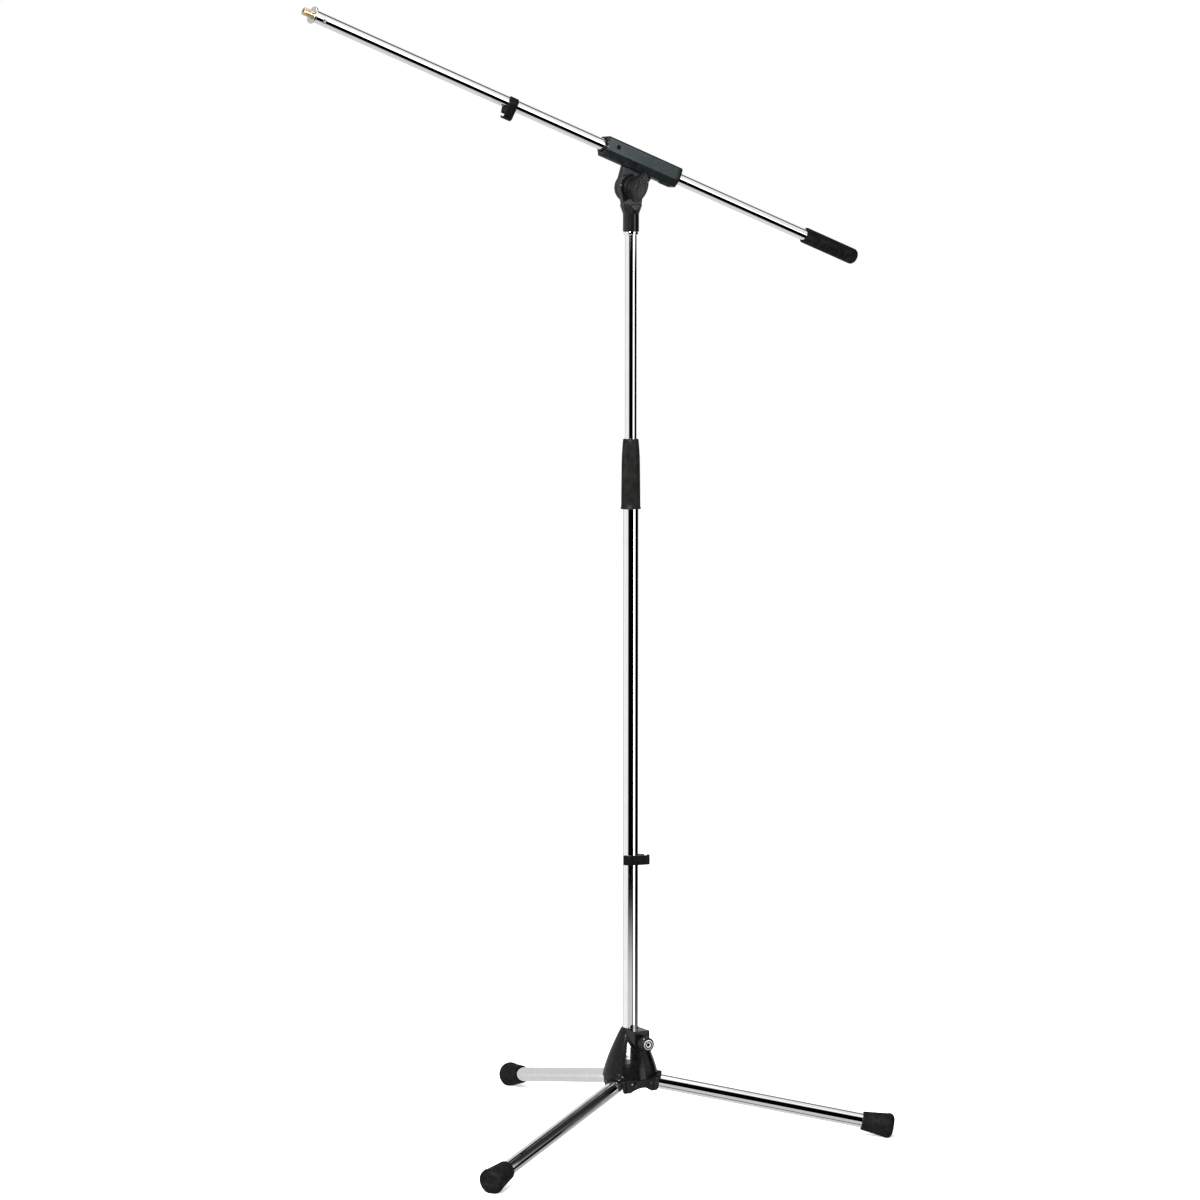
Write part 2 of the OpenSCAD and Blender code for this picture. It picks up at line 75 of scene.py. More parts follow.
def leg_frame(i):
    """Frame of leg i: at its pivot, with Z out along the tube."""
    pivot = Vector(JOINTS[f"leg_{i}_fold"]["pos_m"])
    ends = np.array([v.co for v in frame["nodes"][f"leg_tube_{i}"].data.vertices])
    far = np.linalg.norm(ends - np.array(pivot), axis=1)
    end = Vector(ends[far > far.max() - 6 * MM].mean(0))
    return looking_along(pivot, end - pivot)


COLUMN = Matrix.Identity(4)
CLAMP = looking_along((0, 0, JOINTS["clamp_knob_turn"]["pos_m"][2]), JOINTS["clamp_knob_turn"]["axis"])
LEGS = {i: leg_frame(i) for i in (1, 2, 3)}
BOOM_WAY = Vector(JOINTS["boom_slide"]["axis"])
BOOM = looking_along(JOINTS["boom_turn"]["pos_m"], BOOM_WAY)
BOOM_SIDE = BOOM.to_3x3() @ Vector((0, 1, 0))
PIVOT = looking_along(JOINTS["boom_tilt"]["pos_m"], -Vector(JOINTS["boom_tilt"]["axis"]), BOOM_WAY)

# Sizes in millimetres that several pieces share
TUBE_WALL, THIN_WALL = 1.5, 1.25
PLAY = 0.03  # gap round anything that sits in a bore
THREAD_PITCH = 1.5875  # 16 turns to the inch


# ---------- Materials ----------

class Shader:
    """A Principled material that is built up from noise, wear and bump layers."""

    def __init__(self, name, rough, metallic=0.0, specular=0.5):
        self.material = bpy.data.materials.new(name)
        self.material.use_nodes = True
        self.tree = self.material.node_tree
        self.bsdf = self.tree.nodes["Principled BSDF"]
        self.bsdf.inputs["Metallic"].default_value = metallic
        self.bsdf.inputs["Specular IOR Level"].default_value = specular
        self.bsdf.inputs["Roughness"].default_value = rough
        self.rough = rough
        self.normal = None
        texture_space = self.tree.nodes.new("ShaderNodeTexCoord")
        self.coords = texture_space.outputs["Object"]
        self.facing = texture_space.outputs["Normal"]

    def link(self, a, b):
        self.tree.links.new(a, b)

    def math(self, kind, a, b):
        node = self.tree.nodes.new("ShaderNodeMath")
        node.operation = kind
        for socket, value in zip(node.inputs, (a, b)):
            if isinstance(value, (int, float)):
                socket.default_value = value
            else:
                self.link(value, socket)
        return node.outputs[0]

    def stretch(self, scale, place=None):
        """Object coordinates scaled along the axes of a frame."""
        node = self.tree.nodes.new("ShaderNodeMapping")
        node.vector_type = "POINT"
        source = self.coords
        if place is not None:
            turn = self.tree.nodes.new("ShaderNodeMapping")
            turn.vector_type = "POINT"
            turn.inputs["Rotation"].default_value = place.to_3x3().transposed().to_euler()
            self.link(source, turn.inputs["Vector"])
            source = turn.outputs[0]
        node.inputs["Scale"].default_value = scale
        self.link(source, node.inputs["Vector"])
        return node.outputs[0]

    def noise(self, size, detail=3.0, scale=(1, 1, 1), place=None):
        """Noise from 0 to 1 whose grains are about size millimetres wide."""
        node = self.tree.nodes.new("ShaderNodeTexNoise")
        node.inputs["Scale"].default_value = 1 / (size * MM)
        node.inputs["Detail"].default_value = detail
        self.link(self.stretch(scale, place), node.inputs["Vector"])
        return node.outputs["Fac"]

    def ramp(self, source, low, high, start=0.0, end=1.0):
        """source between low and high mapped to start ... end."""
        node = self.tree.nodes.new("ShaderNodeMapRange")
        for socket, value in zip(list(node.inputs)[1:5], (low, high, start, end)):
            socket.default_value = value
        self.link(source, node.inputs[0])
        return node.outputs[0]

    def edge_wear(self, low, high):
        """1 on convex edges and 0 elsewhere."""
        node = self.tree.nodes.new("ShaderNodeNewGeometry")
        return self.ramp(node.outputs["Pointiness"], low, high)

    def flat_to(self, direction):
        """1 on faces square to a direction of the object, at rest, and 0 elsewhere."""
        node = self.tree.nodes.new("ShaderNodeVectorMath")
        node.operation = "DOT_PRODUCT"
        self.link(self.facing, node.inputs[0])
        node.inputs[1].default_value = direction
        return self.ramp(self.math("ABSOLUTE", node.outputs["Value"], 0), 0.93, 0.99)

    def color(self, first, second, factor):
        """Blend of two colours by factor."""
        node = self.tree.nodes.new("ShaderNodeMix")
        node.data_type = "RGBA"
        for socket, value in ((node.inputs[6], first), (node.inputs[7], second)):
            if isinstance(value, tuple):
                socket.default_value = (*value, 1)
            else:
                self.link(value, socket)
        self.link(factor, node.inputs[0])
        return node.outputs[2]

    def paint(self, source):
        self.link(source, self.bsdf.inputs["Base Color"])

    def roughen(self, source, swing):
        """Roughness that swings round its middle value with source, from 0 to 1."""
        self.link(self.ramp(source, 0.3, 0.7, max(self.rough - swing, 0.01), self.rough + swing),
                  self.bsdf.inputs["Roughness"])

    def bump(self, source, height, strength=1.0):
        """Bump of height millimetres from source, on top of the bumps before it."""
        node = self.tree.nodes.new("ShaderNodeBump")
        node.inputs["Distance"].default_value = height * MM
        node.inputs["Strength"].default_value = strength
        self.link(source, node.inputs["Height"])
        if self.normal is not None:
            self.link(self.normal, node.inputs["Normal"])
        self.normal = node.outputs[0]
        self.link(self.normal, self.bsdf.inputs["Normal"])


def chrome(name, place):
    """Plated tube: faint draw lines along it, smudges, and a slow waviness."""
    s = Shader(name, 0.035, metallic=1.0)
    smudge = s.noise(14, 4)
    s.paint(s.color((0.84, 0.85, 0.87), (0.90, 0.905, 0.91), s.ramp(smudge, 0.3, 0.7)))
    lines = s.noise(1.1, 2, (1, 1, 0.03), place)
    s.roughen(s.math("MULTIPLY", s.math("ADD", smudge, lines), 0.5), 0.015)
    s.bump(lines, 0.002, 0.15)
    s.bump(s.noise(60, 1), 0.01, 0.1)
    return s.material


def lacquer(name, deep, light, rough, orange_peel, coat, specular):
    """Paint on cast metal: orange peel, uneven gloss, rubbed edges and a little dust."""
    s = Shader(name, rough, specular=specular)
    mottle = s.noise(5, 4)
    body = s.color(deep, light, s.ramp(mottle, 0.3, 0.7))
    rubbed = s.math("MULTIPLY", s.edge_wear(0.55, 0.68), s.ramp(s.noise(1.4, 4), 0.45, 0.62))
    s.paint(s.color(body, tuple(c * 3 + 0.008 for c in light), rubbed))
    s.roughen(s.noise(9, 5), 0.025)
    s.bsdf.inputs["Coat Weight"].default_value = coat
    s.bsdf.inputs["Coat Roughness"].default_value = 0.08
    s.bump(s.noise(1.6, 2), orange_peel, 0.5)
    s.bump(s.noise(12, 2), orange_peel * 3, 0.4)
    return s.material


def moulded(name, deep, light, rough, grain, depth, specular, painted_sheen=None):
    """Moulded plastic: fine spark-eroded grain, flow shading and polished edges.
    painted_sheen is the direction of the faces that get a paler colour, and that colour: a painted reflection,
    mottled by the flow noise."""
    s = Shader(name, rough, specular=specular)
    flow = s.noise(11, 3)
    body = s.color(deep, light, s.ramp(flow, 0.35, 0.65))
    # Faces square to the given direction get a paler colour: a painted reflection of the studio on gloss black.
    if painted_sheen:
        painted_sheen_mottle = s.ramp(flow, 0.2, 0.8, 0.7, 1.0)
        body = s.color(body, painted_sheen[1], s.math("MULTIPLY", s.flat_to(painted_sheen[0]), painted_sheen_mottle))
    s.paint(s.color(body, tuple(c * 1.6 + 0.002 for c in light), s.edge_wear(0.55, 0.70)))
    s.roughen(s.noise(4, 4), 0.05)
    s.bump(s.noise(grain, 2), depth, 0.6)
    return s.material


def rubber(name, deep, light, rough=0.62):
    """Matt rubber: fine pores, dusty bloom and scuffs."""
    s = Shader(name, rough, specular=0.04)
    bloom = s.noise(7, 5)
    body = s.color(deep, light, s.ramp(bloom, 0.42, 0.72))
    scuff = s.math("MULTIPLY", s.ramp(s.noise(2.2, 5, (1, 1, 0.4)), 0.6, 0.68), 0.3)
    s.paint(s.color(body, tuple(c * 1.8 + 0.004 for c in light), scuff))
    s.roughen(s.noise(3, 4), 0.1)
    s.bump(s.noise(0.5, 3), 0.04, 0.6)
    s.bump(s.noise(2.6, 2), 0.03, 0.3)
    return s.material


def bare_metal(name, dull, bright, rough):
    """Turned or plated metal: fine grain, tarnish and bright edges."""
    s = Shader(name, rough, metallic=1.0)
    grain = s.noise(0.5)
    tarnish = s.noise(6, 4)
    mixed = s.math("MULTIPLY", s.math("ADD", grain, tarnish), 0.5)
    body = s.color(dull, bright, s.ramp(mixed, 0.35, 0.65))
    s.paint(s.color(body, tuple(min(c * 1.15, 1) for c in bright), s.edge_wear(0.52, 0.62)))
    s.roughen(tarnish, 0.08)
    s.bump(grain, 0.01, 0.4)
    return s.material


def fibre(name):
    """Pressed friction fibre: speckled, matt and slightly open."""
    s = Shader(name, 0.85, specular=0.2)
    speck = s.noise(0.6, 5)
    s.paint(s.color((0.16, 0.06, 0.04), (0.34, 0.15, 0.09), s.ramp(speck, 0.35, 0.65)))
    s.bump(speck, 0.08, 0.8)
    return s.material


def make_materials():
    """One material for each slot of the record, and its places of use."""
    m = {
        "base_black": lacquer("base_lacquer", (0.0015, 0.0015, 0.0017), (0.004, 0.004, 0.0043),
                              rough=0.15, orange_peel=0.008, coat=0.12, specular=0.1),
        "hub_black": lacquer("hub_satin", (0.0045, 0.004, 0.0035), (0.010, 0.009, 0.0078),
                             rough=0.42, orange_peel=0.05, coat=0.0, specular=0.1),
        "pin_steel": bare_metal("zinc_steel", (0.36, 0.35, 0.34), (0.60, 0.60, 0.60), 0.34),
        "chrome": chrome("chrome_column", COLUMN),
        "bright_disc": bare_metal("turned_disc", (0.80, 0.80, 0.80), (0.95, 0.95, 0.95), 0.48),
        "tip_steel": bare_metal("nickel_tip", (0.55, 0.55, 0.54), (0.78, 0.78, 0.78), 0.20),
        "stud_brass": bare_metal("brass_stud", (0.40, 0.30, 0.18), (0.70, 0.56, 0.38), 0.26),
        "foot_rubber": rubber("foot_rubber", (0.003, 0.003, 0.003), (0.0075, 0.0073, 0.007)),
        "grip_black": moulded("clutch_plastic", (0.003, 0.003, 0.0028), (0.007, 0.007, 0.0066),
                              rough=0.42, grain=0.35, depth=0.02, specular=0.05),
        "tail_grip": rubber("tail_rubber", (0.0025, 0.0025, 0.0025), (0.006, 0.006, 0.006), 0.55),
        "knob_black": moulded("knob_plastic", (0.003, 0.003, 0.003), (0.008, 0.008, 0.008),
                              rough=0.32, grain=0.25, depth=0.015, specular=0.1),
        "head_black": lacquer("head_lacquer", (0.0015, 0.0015, 0.0017), (0.004, 0.004, 0.0044),
                              rough=0.13, orange_peel=0.006, coat=0.22, specular=0.18),
        # The block's two side faces get a pale slate colour: a painted reflection on its gloss black sides.
        "block_black": moulded("block_plastic", (0.003, 0.0036, 0.0038), (0.006, 0.0072, 0.0076),
                               rough=0.24, grain=0.4, depth=0.006, specular=0.10,
                               painted_sheen=(BOOM_SIDE, (0.022, 0.027, 0.028))),
        "clip_black": moulded("clip_plastic", (0.0015, 0.0015, 0.0015), (0.0045, 0.0045, 0.0045),
                              rough=0.28, grain=0.4, depth=0.006, specular=0.04),
        "liner_plastic": moulded("liner_acetal", (0.56, 0.56, 0.53), (0.70, 0.70, 0.67),
                                 rough=0.45, grain=0.4, depth=0.015, specular=0.4),
        "insert_plastic": moulded("insert_nylon", (0.020, 0.020, 0.020), (0.045, 0.045, 0.045),
                                  rough=0.5, grain=0.25, depth=0.02, specular=0.4),
        "friction_fibre": fibre("friction_fibre"),
    }
    m["cap_black"] = moulded("cap_plastic", (0.0025, 0.0026, 0.0028), (0.005, 0.0052, 0.0056),
                             rough=0.24, grain=0.4, depth=0.006, specular=0.12)
    # Near-black matt finish for plates set in recesses: painted shade.
    m["port_black"] = rubber("painted_recess_shade", (0.0008, 0.0008, 0.0008), (0.002, 0.002, 0.002), 0.8)
    m["dark_pins"] = bare_metal("hinge_pins", (0.05, 0.048, 0.045), (0.12, 0.115, 0.11), 0.42)
    legs = {i: chrome(f"chrome_leg_{i}", LEGS[i]) for i in (1, 2, 3)}
    return m, legs, chrome("chrome_boom", BOOM)


# ---------- Mesh helpers ----------

def rounded(outline, radius, steps=4):
    """Closed outline of (r, z) points in millimetres with its corners rounded off, except on the axis."""
    result = []
    count = len(outline)
    for k, (r, z) in enumerate(outline):
        before, here, after = Vector(outline[k - 1]), Vector((r, z)), Vector(outline[(k + 1) % count])
        a, b = before - here, after - here
        if r <= 1e-6 or min(a.length, b.length) < 1e-6 or a.angle(b) > math.radians(172):
            result.append((r, z))
            continue
        cut = min(radius, 0.45 * a.length, 0.45 * b.length)
        start, end = here + a.normalized() * cut, here + b.normalized() * cut
        for s in range(steps + 1):
            t = s / steps
            p = start * (1 - t) ** 2 + here * (2 * t * (1 - t)) + end * t * t
            result.append((p.x, p.y))
    return result


def lined(outline, step):
    """Outline with points added so that no stretch along Z is longer than step millimetres."""
    result = []
    for k, (r, z) in enumerate(outline):
        r2, z2 = outline[(k + 1) % len(outline)]
        parts = max(1, math.ceil(abs(z2 - z) / step))
        result += [(r + (r2 - r) * s / parts, z + (z2 - z) * s / parts) for s in range(parts)]
    return result


def lathe(name, place, outline, segments=96, ripple=None):
    """Turned solid: a closed outline of (r, z) points in millimetres, spun about Z of place.
    ripple(angle, r, z) gives a new radius, for ribs and threads."""
    made = bmesh.new()
    rings = []
    for r, z in outline:
        if r <= 1e-6:
            rings.append([made.verts.new((0, 0, z * MM))])
            continue
        ring = []
        for s in range(segments):
            a = TAU * s / segments
            radius = ripple(a, r, z) if ripple else r
            ring.append(made.verts.new((radius * math.cos(a) * MM, radius * math.sin(a) * MM, z * MM)))
        rings.append(ring)
    for k in range(len(rings)):
        join_rings(made, rings[k - 1], rings[k])
    bmesh.ops.recalc_face_normals(made, faces=made.faces)
    mesh = bpy.data.meshes.new(name)
    made.to_mesh(mesh)
    made.free()
    mesh.transform(place)
    return add_object(name, mesh)


def join_rings(made, lower, upper):
    """Faces between two rings of vertices, either of which may be one point."""
    count = max(len(lower), len(upper))
    if count == 1:
        return
    for s in range(count):
        t = (s + 1) % count
        if len(lower) == 1:
            made.faces.new((lower[0], upper[t], upper[s]))
        elif len(upper) == 1:
            made.faces.new((lower[s], lower[t], upper[0]))
        else:
            made.faces.new((lower[s], lower[t], upper[t], upper[s]))


def add_object(name, mesh, sharp=38):
    """Object from a mesh, shaded smooth except across sharp edges."""
    mesh.shade_smooth()
    mesh.set_sharp_from_angle(angle=math.radians(sharp))
    made = bpy.data.objects.new(name, mesh)
    bpy.context.scene.collection.objects.link(made)
    return made


def welded_copy(name, node):
    """Copy of a CAD node whose faces share their vertices."""
    copy = bpy.data.objects.new(name, frame["nodes"][node].data.copy())
    copy.data.materials.clear()
    bpy.context.scene.collection.objects.link(copy)
    copy.modifiers.new("weld", "WELD").merge_threshold = 1e-6
    return copy


def applied(copy, sharp):
    """New piece from a copy with its modifiers applied. The copy is removed."""
    name = copy.name
    mesh = bpy.data.meshes.new_from_object(copy.evaluated_get(bpy.context.evaluated_depsgraph_get()))
    mesh.name = name
    bpy.data.objects.remove(copy)
    return add_object(name, mesh, sharp)


def softened(name, node, voxel, passes):
    """Copy of a CAD node, remeshed evenly with its edges rounded as a casting's are."""
    copy = welded_copy(name, node)
    remesh = copy.modifiers.new("remesh", "REMESH")
    remesh.mode = "VOXEL"
    remesh.voxel_size = voxel * MM
    smooth = copy.modifiers.new("smooth", "SMOOTH")
    smooth.factor = 0.5
    smooth.iterations = passes
    return applied(copy, 60)


def crisp(name, node, width):
    """Copy of a CAD node with narrow rounded edges, for mouldings with flat faces."""
    copy = welded_copy(name, node)
    bevel = copy.modifiers.new("bevel", "BEVEL")
    bevel.limit_method = "ANGLE"
    bevel.angle_limit = math.radians(28)
    bevel.width = width * MM
    bevel.segments = 3
    return applied(copy, 35)


def reshape(piece, place, change):
    """Moves the vertices of a piece by change(x, y, z), in millimetres in a frame."""
    inverse = place.inverted()
    for v in piece.data.vertices:
        p = inverse @ v.co
        v.co = place @ Vector(c * MM for c in change(p.x / MM, p.y / MM, p.z / MM))
    piece.data.update()


def finish_piece(piece, body, slot, material, *nodes):
    """Gives a piece its finish and body, and lets it stand for its CAD nodes."""
    piece.data.materials.clear()
    piece.data.materials.append(material)
    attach(piece, body)
    if nodes:
        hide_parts(*nodes)


def smoothstep(low, high, x):
    t = min(max((x - low) / (high - low), 0.0), 1.0)
    return t * t * (3 - 2 * t)


def threaded(pitch, depth, z0, z1):
    """Ripple of a right-hand thread between two heights, fading out at its ends."""
    def ripple(a, r, z):
        phase = (z / pitch - a / TAU) % 1
        ridge = abs(2 * phase - 1)
        fade = smoothstep(z0, z0 + pitch, z) * (1 - smoothstep(z1 - pitch, z1, z))
        return r - depth * fade * smoothstep(0.15, 0.85, 1 - ridge)
    return ripple


# ---------- Pieces ----------

def crimp_dent(tube_r, middle):
    """Ripple that presses one short dent into the outside of a tube, on its near lower side."""
    depth, half_length, angle, half_angle = 0.55, 1.1, math.radians(250), 0.42

    def ripple(a, r, z):
        if r < tube_r - 0.5:
            return r
        return r - depth * math.exp(-((z - middle) / half_length) ** 2 - ((a - angle) / half_angle) ** 2)
    return ripple


def build_tubes(finishes, leg_chrome, boom_chrome):
    """Chrome tubes with rounded ends and open bores, and the crimp that holds the boom's tip."""
    crimp_back, crimp_step = 12.5, 0.6
    jobs = [("lower_tube", COLUMN, "column", TUBE_WALL, finishes["chrome"]),
            ("upper_rod", COLUMN, "rod", THIN_WALL, finishes["chrome"]),
            ("boom_tube", BOOM, "boom", THIN_WALL, boom_chrome)]
    jobs += [(f"leg_tube_{i}", LEGS[i], f"leg_{i}", TUBE_WALL, leg_chrome[i]) for i in (1, 2, 3)]
    for node, place, body, wall, finish in jobs:
        low, high, r = node_span(node, place)
        r, z0, z1 = r / MM, low[2] / MM, high[2] / MM
        outline = [(r, z0), (r, z1), (r - wall, z1), (r - wall, z0)]
        dent = None
        if node == "boom_tube":
            outline[1:1] = [(r, z1 - crimp_back + k * crimp_step) for k in range(-6, 7)]
            dent = crimp_dent(r, z1 - crimp_back)
        tube = lathe(f"{node}_chrome", place, lined(rounded(outline, 0.4), 60), 128, dent)
        finish_piece(tube, body, "chrome", finish, node)


def build_feet(finish):
    """Rubber feet: a rim bead, a conical flank with fine rings, and a domed end worn flat."""
    neck, dome = 12.45, 7
    for i in (1, 2, 3):
        low, high, _ = node_span(f"foot_cap_{i}", LEGS[i])
        z0, z1 = low[2] / MM, high[2] / MM
        tube = node_span(f"leg_tube_{i}", LEGS[i])
        bore, floor = tube[2] / MM + PLAY, tube[1][2] / MM + PLAY
        r2 = foot_radius(i)
        outline = [(bore, z0), (neck - 1.35, z0), (neck - 0.35, z0 + 0.9), (neck, z0 + 5)]
        for k in range(1, 5):
            z = z0 + 5 + (z1 - z0 - 16) * k / 4
            r = neck + (r2 - 0.95 - neck) * (k / 4)
            outline += [(r - 0.03, z - 0.5), (r - 0.2, z), (r + 0.03, z + 0.5)] if k < 4 else [(r, z)]
        outline += [(r2 - dome + dome * math.cos(a), z1 - dome + dome * math.sin(a))
                    for a in (math.radians(10 * s) for s in range(-3, 10))]
        outline += [(r2 - 8.4, z1), (r2 - 8.8, z1 - 0.5), (r2 - 9.4, z1 - 0.5), (r2 - 9.8, z1), (0, z1),
                    (0, floor), (bore, floor)]
        foot = lathe(f"foot_{i}_rubber", LEGS[i], lined(rounded(outline, 0.35, 3), 3), 96)
        for v in foot.data.vertices:
            v.co.z = max(v.co.z, 0.0)
        finish_piece(foot, f"leg_{i}", "foot_rubber", finish, f"foot_cap_{i}")


def foot_radius(i):
    """Largest radius of a foot, taken on its upper side where the floor has not worn it."""
    p = node_points(f"foot_cap_{i}", LEGS[i])
    return float(p[:, 0].max()) / MM


def build_clutch(finish):
    """Twist clutch: fine ribs round a tapering grip, a flared lower rim and a plain top band."""
    low, high, _ = node_span("clutch_grip", COLUMN)
    z0, z1 = low[2] / MM, high[2] / MM
    length = z1 - z0
    rib_count, rib_depth = 44, 0.42
    collar = node_span("clutch_collar", COLUMN)
    collet = node_span("clutch_collet", COLUMN)
    rod = node_span("upper_rod", COLUMN)[2] / MM + 0.3
    outer = [(12.4, z0), (12.9, z0 + 0.6), (12.8, z0 + 1.9), (12.25, z0 + 3.6), (11.65, z1 - 31),
             (11.4, z1 - 22), (10.8, z1 - 12), (10.2, z1 - 4), (9.9, z1 - 1), (9.3, z1)]
    step_1 = collar[1][2] / MM + 0.5
    step_2 = collet[1][2] / MM + 0.5
    inner = [(rod, z1), (rod, step_2), (collet[2] / MM + 0.08, step_2), (collet[2] / MM + 0.08, step_1),
             (collar[2] / MM + 0.05, step_1), (collar[2] / MM + 0.05, z0)]

    def ribs(a, r, z):
        bore = collar[2] / MM if z <= step_1 else collet[2] / MM if z <= step_2 else rod
        if r < bore + 0.2:
            return r
        up = z - z0
        fade = smoothstep(3.6, 6.5, up) * (1 - smoothstep(length - 5.5, length - 3, up))
        wave = 0.5 + 0.5 * math.cos(rib_count * a)
        return r - rib_depth * fade * (1 - wave) ** 1.5
    grip = lathe("clutch_ribbed_grip", COLUMN, lined(outer + inner, 1.5), 8 * rib_count, ribs)
    finish_piece(grip, "clutch", "grip_black", finish, "clutch_grip")


def build_boom_grip(finish):
    """Sleeve over the boom's tail: lipped mouth, soft grip rings and a rounded closed end."""
    low, high, r = node_span("boom_grip", BOOM)
    r, z0, z1 = r / MM, low[2] / MM, high[2] / MM
    bore = node_span("boom_tube", BOOM)
    end_r = 5
    hole, floor = bore[2] / MM + PLAY, bore[0][2] / MM - PLAY
    outline = [(0, z0)]
    outline += [(r - end_r + end_r * math.sin(a), z0 + end_r - end_r * math.cos(a))
                for a in (math.radians(12 * s) for s in range(8))]
    outline += [(r - 0.05, z1 - 3.4), (r - 0.5, z1 - 3), (r - 0.5, z1 - 2.6), (r - 0.05, z1 - 2.2),
                (r, z1 - 0.8), (r - 1, z1), (hole + 1.2, z1), (hole + 1.2, z1 - 2), (hole, z1 - 2),
                (hole, floor), (0, floor)]
    grip = lathe("boom_grip_sleeve", BOOM, lined(rounded(outline, 0.3, 3), 3), 96)
    finish_piece(grip, "boom", "tail_grip", finish, "boom_grip")


def build_clamp_knob(finishes):
    """Fluted clamp knob, the dark ring of the bright disc in its face, and a near-black plate at the bottom of the
    disc's socket as painted shade.
    """
    flute_count, flute_depth = 16, 0.75
    low, high, r = node_span("clamp_knob", CLAMP)
    r, z0, z1 = r / MM, low[2] / MM, high[2] / MM
    disc = node_span("clamp_knob_disc", CLAMP)
    hole = node_span("clamp_screw", CLAMP)
    d, s, s_end = disc[2] / MM + PLAY, hole[2] / MM + PLAY, hole[1][2] / MM + 0.1
    outline = [(s, z0), (r - 1.5, z0), (r, z0 + 4), (r, z1 - 1), (r - 1, z1), (d, z1), (d, z1 - 1.5),
               (0, z1 - 1.5), (0, s_end), (s, s_end)]

    def flutes(a, radius, z):
        if radius < r - 2.2:
            return radius
        fade = smoothstep(z0 + 3.5, z0 + 5, z) * (1 - smoothstep(z1 - 2.4, z1 - 1.2, z))
        return radius - flute_depth * fade * max(0.0, math.cos(flute_count * a)) ** 0.7
    knob = lathe("clamp_knob_fluted", CLAMP, lined(rounded(outline, 0.45, 3), 0.8), 192, flutes)
    finish_piece(knob, "clamp_screw", "knob_black", finishes["knob_black"], "clamp_knob")
    face = disc[1][2] / MM
    r_in, r_out, under, proud = 0.56 * d, 0.82 * d, face - 0.05, face + 0.12
    inlay = [(r_in, under), (r_out, under), (r_out, proud), (r_in, proud)]
    ring = lathe("knob_disc_inlay", CLAMP, rounded(inlay, 0.05), 96)
    finish_piece(ring, "clamp_screw", "knob_black", finishes["knob_black"])
    # Near-black plate at the bottom of the disc's socket: painted shade.
    socket = [(0, face - 1.05), (2.4, face - 1.05), (2.4, face - 0.8), (1.2, face - 0.95), (0, face - 0.95)]
    socket_shade = lathe("knob_socket_shade", CLAMP, rounded(socket, 0.08), 48)
    finish_piece(socket_shade, "clamp_screw", "knob_black", finishes["port_black"])


def build_top_stud(finishes):
    """Plug, flange ring with a rounded rim, and a threaded stud."""
    low, high, r = node_span("rod_top_stud", COLUMN)
    rod = node_span("upper_rod", COLUMN)
    r, z0, z1 = r / MM, low[2] / MM, high[2] / MM
    top, plug, stud = rod[1][2] / MM, rod[2] / MM - THIN_WALL - PLAY, 4.76
    seat = top + 4
    outline = [(0, z0), (plug, z0), (plug, top), (r, top), (r, seat), (stud, seat), (stud, z1 - 0.8),
               (stud - 0.8, z1), (0, z1)]
    thread = threaded(THREAD_PITCH, 0.7, seat + 0.5, z1 - 0.5)
    spin = lathe("rod_top_flange_stud", COLUMN, lined(rounded(outline, 0.7), 0.2), 64,
                 lambda a, q, z: thread(a, q, z) if z > seat + 0.1 and q > 3.5 else q)
    finish_piece(spin, "rod", "chrome", finishes["chrome"], "rod_top_stud")


def build_tip(finishes):
    """Flange and threaded stud at the boom's tip."""
    low, high, r = node_span("tip_flange", BOOM)
    r, z0, z1 = r / MM, low[2] / MM, high[2] / MM
    tube = node_span("boom_tube", BOOM)
    plug, tube_end = tube[2] / MM - THIN_WALL - PLAY, tube[1][2] / MM
    stud_low, stud_high, stud_r = node_span("tip_stud", BOOM)
    s0, s1, sr = stud_low[2] / MM, stud_high[2] / MM, stud_r / MM
    shank = sr - 0.5
    bore = shank + PLAY
    outline = [(0, z0), (plug, z0), (plug, tube_end), (r, tube_end), (r, z1), (bore, z1),
               (bore, s0 - 1), (0, s0 - 1)]
    flange = lathe("boom_tip_flange", BOOM, rounded(outline, 0.7), 96)
    finish_piece(flange, "boom", "tip_steel", finishes["tip_steel"], "tip_flange")
    outline = [(2, s0), (shank, s0), (shank, z1), (sr, z1), (sr, s1 - 0.9), (sr - 0.9, s1),
               (2.4, s1), (2, s1 - 0.4)]
    thread = threaded(THREAD_PITCH, 0.75, z1 + 0.3, s1 - 0.2)
    stud = lathe("boom_tip_stud", BOOM, lined(outline, 0.2), 64,
                 lambda a, q, z: thread(a, q, z) if q > 3 and z > z1 else q)
    finish_piece(stud, "boom", "stud_brass", finishes["stud_brass"], "tip_stud")


def build_cast_pieces(finishes):
    """Bell, hub, head, clamp block and clips, with the soft edges of castings and mouldings."""
    coarser = 1.0
    jobs = [
        ("bell_cover", "base_bell", "base", "base_black", 0.55, 14),
        ("hub_casting", "base_hub", "base", "hub_black", 0.45, 5),
        ("head_casting", "head_socket", "rod", "head_black", 0.4, 6),
    ]
    for name, node, body, slot, voxel, passes in jobs:
        piece = softened(name, node, voxel * coarser, passes)
        finish_piece(piece, body, slot, finishes[slot], node)
    jobs = [
        ("clamp_block_body", "clamp_block", "boom_head", "block_black", "block_black", 0.5),
        ("clamp_block_end_cap", "block_end_cap", "boom_head", "block_black", "cap_black", 0.5),
        ("lower_clip_moulded", "lower_cable_clip", "lower_clip", "clip_black", "clip_black", 0.3),
        ("boom_clip_moulded", "boom_cable_clip", "boom_clip", "clip_black", "clip_black", 0.3),
    ]
    for name, node, body, slot, finish, width in jobs:
        finish_piece(crisp(name, node, width), body, slot, finishes[finish], node)


